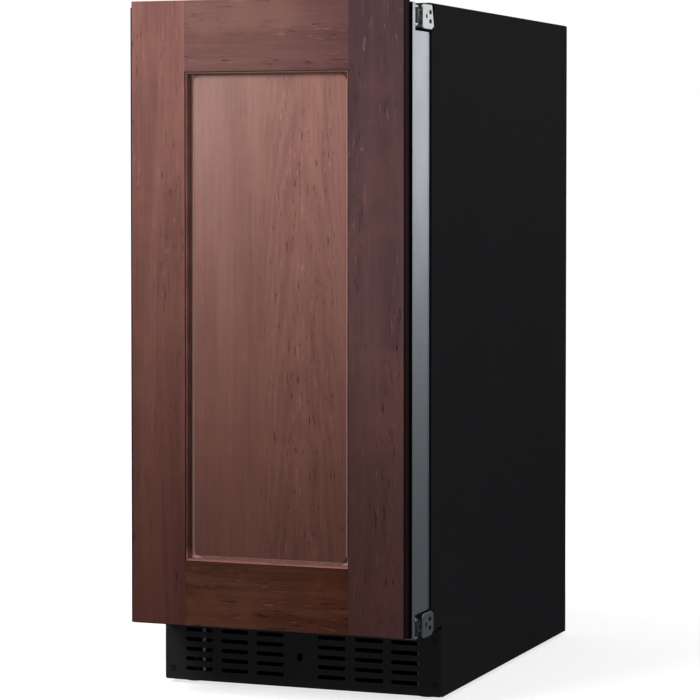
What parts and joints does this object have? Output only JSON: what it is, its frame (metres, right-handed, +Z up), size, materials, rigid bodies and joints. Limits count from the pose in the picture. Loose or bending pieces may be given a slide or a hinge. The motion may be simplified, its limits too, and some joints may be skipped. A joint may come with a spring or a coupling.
{
  "type": "ice maker",
  "caption": "Undercounter ice maker: framed wooden overlay door on articulated hinges, black steel cabinet, slotted toe grille, freezer with ejector ice mould, and refrigeration bay.",
  "frame": {"origin": "on the floor under the middle of the whole machine", "axes": "+X to the right as seen from the front, the door faces -Y, +Z up"},
  "size_m": [0.378, 0.676, 0.872],
  "materials": {
    "painted_black_steel": "satin black powder coat",
    "grille_black": "satin black paint",
    "black_plastic": "matte black moulding",
    "galvanised_steel": "galvanised sheet",
    "foam": "rigid insulation foam",
    "liner_white": "white moulded plastic",
    "hinge_steel": "zinc-plated stamped steel",
    "black_screws": "blackened screw heads",
    "compressor_black": "gloss black enamel",
    "rubber_black": "black rubber",
    "copper": "bare copper",
    "motor_steel": "steel motor can",
    "fan_plastic": "off-white moulded blades",
    "valve_plastic": "cream moulding",
    "brass_fitting": "turned brass",
    "tube_white": "white tube",
    "aluminium_fins": "thin fins",
    "mould_aluminium": "grey coated casting",
    "gear_plastic": "amber nylon",
    "bail_wire": "plated wire",
    "bin_plastic": "translucent white moulding",
    "scoop_plastic": "grey moulded scoop",
    "lamp_lens": "frosted lens",
    "switch_black": "black moulding",
    "silver_door": "silver satin sheet",
    "gasket_rubber": "black magnetic gasket",
    "wood_left_stile": "satin stained wood, upright grain",
    "wood_right_stile": "satin stained wood, upright grain",
    "wood_top_rail": "satin stained wood, level grain",
    "wood_bottom_rail": "satin stained wood, level grain",
    "wood_panel": "satin stained wood, upright grain"
  },
  "bodies": {
    "cabinet": {"outer_shell": "painted_black_steel", "rear_panel": "galvanised_steel", "base_pan": "galvanised_steel", "machine_bay_panel": "galvanised_steel", "foam_insulation": "foam", "inner_liner": "liner_white", "front_frame": "black_plastic", "toe_grille": "grille_black", "cabinet_screws": "black_screws", "hinge_plates": "hinge_steel", "compressor": "compressor_black", "compressor_mounts": "rubber_black", "compressor_terminal_box": "black_plastic", "condenser_coil": "copper", "condenser_fan_shroud": "black_plastic", "condenser_fan_motor": "motor_steel", "filter_drier": "copper", "refrigerant_lines": "copper", "drip_tray": "galvanised_steel", "water_valve": "valve_plastic", "water_inlet_fitting": "brass_fitting", "fill_tube": "tube_white", "power_inlet": "black_plastic", "control_board_box": "galvanised_steel", "evaporator_coil": "aluminium_fins", "evaporator_cover": "liner_white", "evaporator_fan_motor": "black_plastic", "ice_mould": "mould_aluminium", "stripper": "liner_white", "drive_housing": "liner_white", "drive_cover": "liner_white", "gear_motor": "motor_steel", "fill_cup": "liner_white", "control_housing": "liner_white", "light_lens": "lamp_lens"},
    "condenser_fan_rotor": {"condenser_fan": "fan_plastic"},
    "evaporator_fan_rotor": {"evaporator_fan": "fan_plastic"},
    "pinion": {"motor_pinion": "gear_plastic"},
    "ejector": {"ejector_shaft": "liner_white"},
    "feeler_arm": {"shutoff_arm": "bail_wire"},
    "bin": {"ice_bin": "bin_plastic", "ice_scoop": "scoop_plastic"},
    "rocker": {"rocker_switch": "switch_black"},
    "knob": {"temperature_knob": "switch_black"},
    "hinge_link": {"hinge_arms": "hinge_steel"},
    "door": {"door_frame": "silver_door", "door_foam": "foam", "door_liner": "liner_white", "door_gasket": "gasket_rubber", "stile_left": "wood_left_stile", "stile_right": "wood_right_stile", "rail_top": "wood_top_rail", "rail_bottom": "wood_bottom_rail", "centre_panel": "wood_panel", "panel_fasteners": "black_plastic", "hinge_brackets": "hinge_steel"},
    "foot_fl": {"levelling_foot_fl": "rubber_black"},
    "foot_fr": {"levelling_foot_fr": "rubber_black"},
    "foot_rl": {"levelling_foot_rl": "rubber_black"},
    "foot_rr": {"levelling_foot_rr": "rubber_black"}
  },
  "joints": [
    {"name": "door_swing", "type": "hinge", "parent": "hinge_link", "child": "door", "pos_m": [0.182, -0.297, 0.48], "axis": [0, 0, 1], "range_deg": [0, 152]},
    {"name": "hinge_arm_swing", "type": "hinge", "parent": "cabinet", "child": "hinge_link", "pos_m": [0.156, -0.254, 0.48], "axis": [0, 0, 1], "range_deg": [-57, 0]},
    {"name": "ejector_turn", "type": "hinge", "parent": "cabinet", "child": "ejector", "pos_m": [-0.02, -0.038, 0.742], "axis": [0, 1, 0], "continuous": true},
    {"name": "pinion_turn", "type": "hinge", "parent": "cabinet", "child": "pinion", "pos_m": [-0.02, -0.15, 0.7132], "axis": [0, 1, 0], "continuous": true},
    {"name": "condenser_fan_spin", "type": "hinge", "parent": "cabinet", "child": "condenser_fan_rotor", "pos_m": [-0.095, 0.117, 0.112], "axis": [0, 1, 0], "continuous": true},
    {"name": "evaporator_fan_spin", "type": "hinge", "parent": "cabinet", "child": "evaporator_fan_rotor", "pos_m": [0, 0.223, 0.612], "axis": [0, 1, 0], "continuous": true},
    {"name": "feeler_arm_lift", "type": "hinge", "parent": "cabinet", "child": "feeler_arm", "pos_m": [0.03, -0.038, 0.705], "axis": [0, -1, 0], "range_deg": [0, 35]},
    {"name": "bin_slide", "type": "slide", "parent": "cabinet", "child": "bin", "axis": [0, -1, 0], "range_m": [0, 0.018]},
    {"name": "rocker_tip", "type": "hinge", "parent": "cabinet", "child": "rocker", "pos_m": [-0.116, -0.219, 0.791], "axis": [1, 0, 0], "range_deg": [0, 16]},
    {"name": "knob_turn", "type": "hinge", "parent": "cabinet", "child": "knob", "pos_m": [-0.07, -0.228, 0.791], "axis": [0, -1, 0], "range_deg": [-270, 0]},
    {"name": "foot_fl_height", "type": "slide", "parent": "cabinet", "child": "foot_fl", "axis": [0, 0, -1], "range_m": [0, 0.02]},
    {"name": "foot_fr_height", "type": "slide", "parent": "cabinet", "child": "foot_fr", "axis": [0, 0, -1], "range_m": [0, 0.02]},
    {"name": "foot_rl_height", "type": "slide", "parent": "cabinet", "child": "foot_rl", "axis": [0, 0, -1], "range_m": [0, 0.02]},
    {"name": "foot_rr_height", "type": "slide", "parent": "cabinet", "child": "foot_rr", "axis": [0, 0, -1], "range_m": [0, 0.02]}
  ],
  "couplings": [
    {"joint": "hinge_arm_swing", "follows": "door_swing", "ratio": -0.375},
    {"joint": "pinion_turn", "follows": "ejector_turn", "ratio": -2.8}
  ]
}
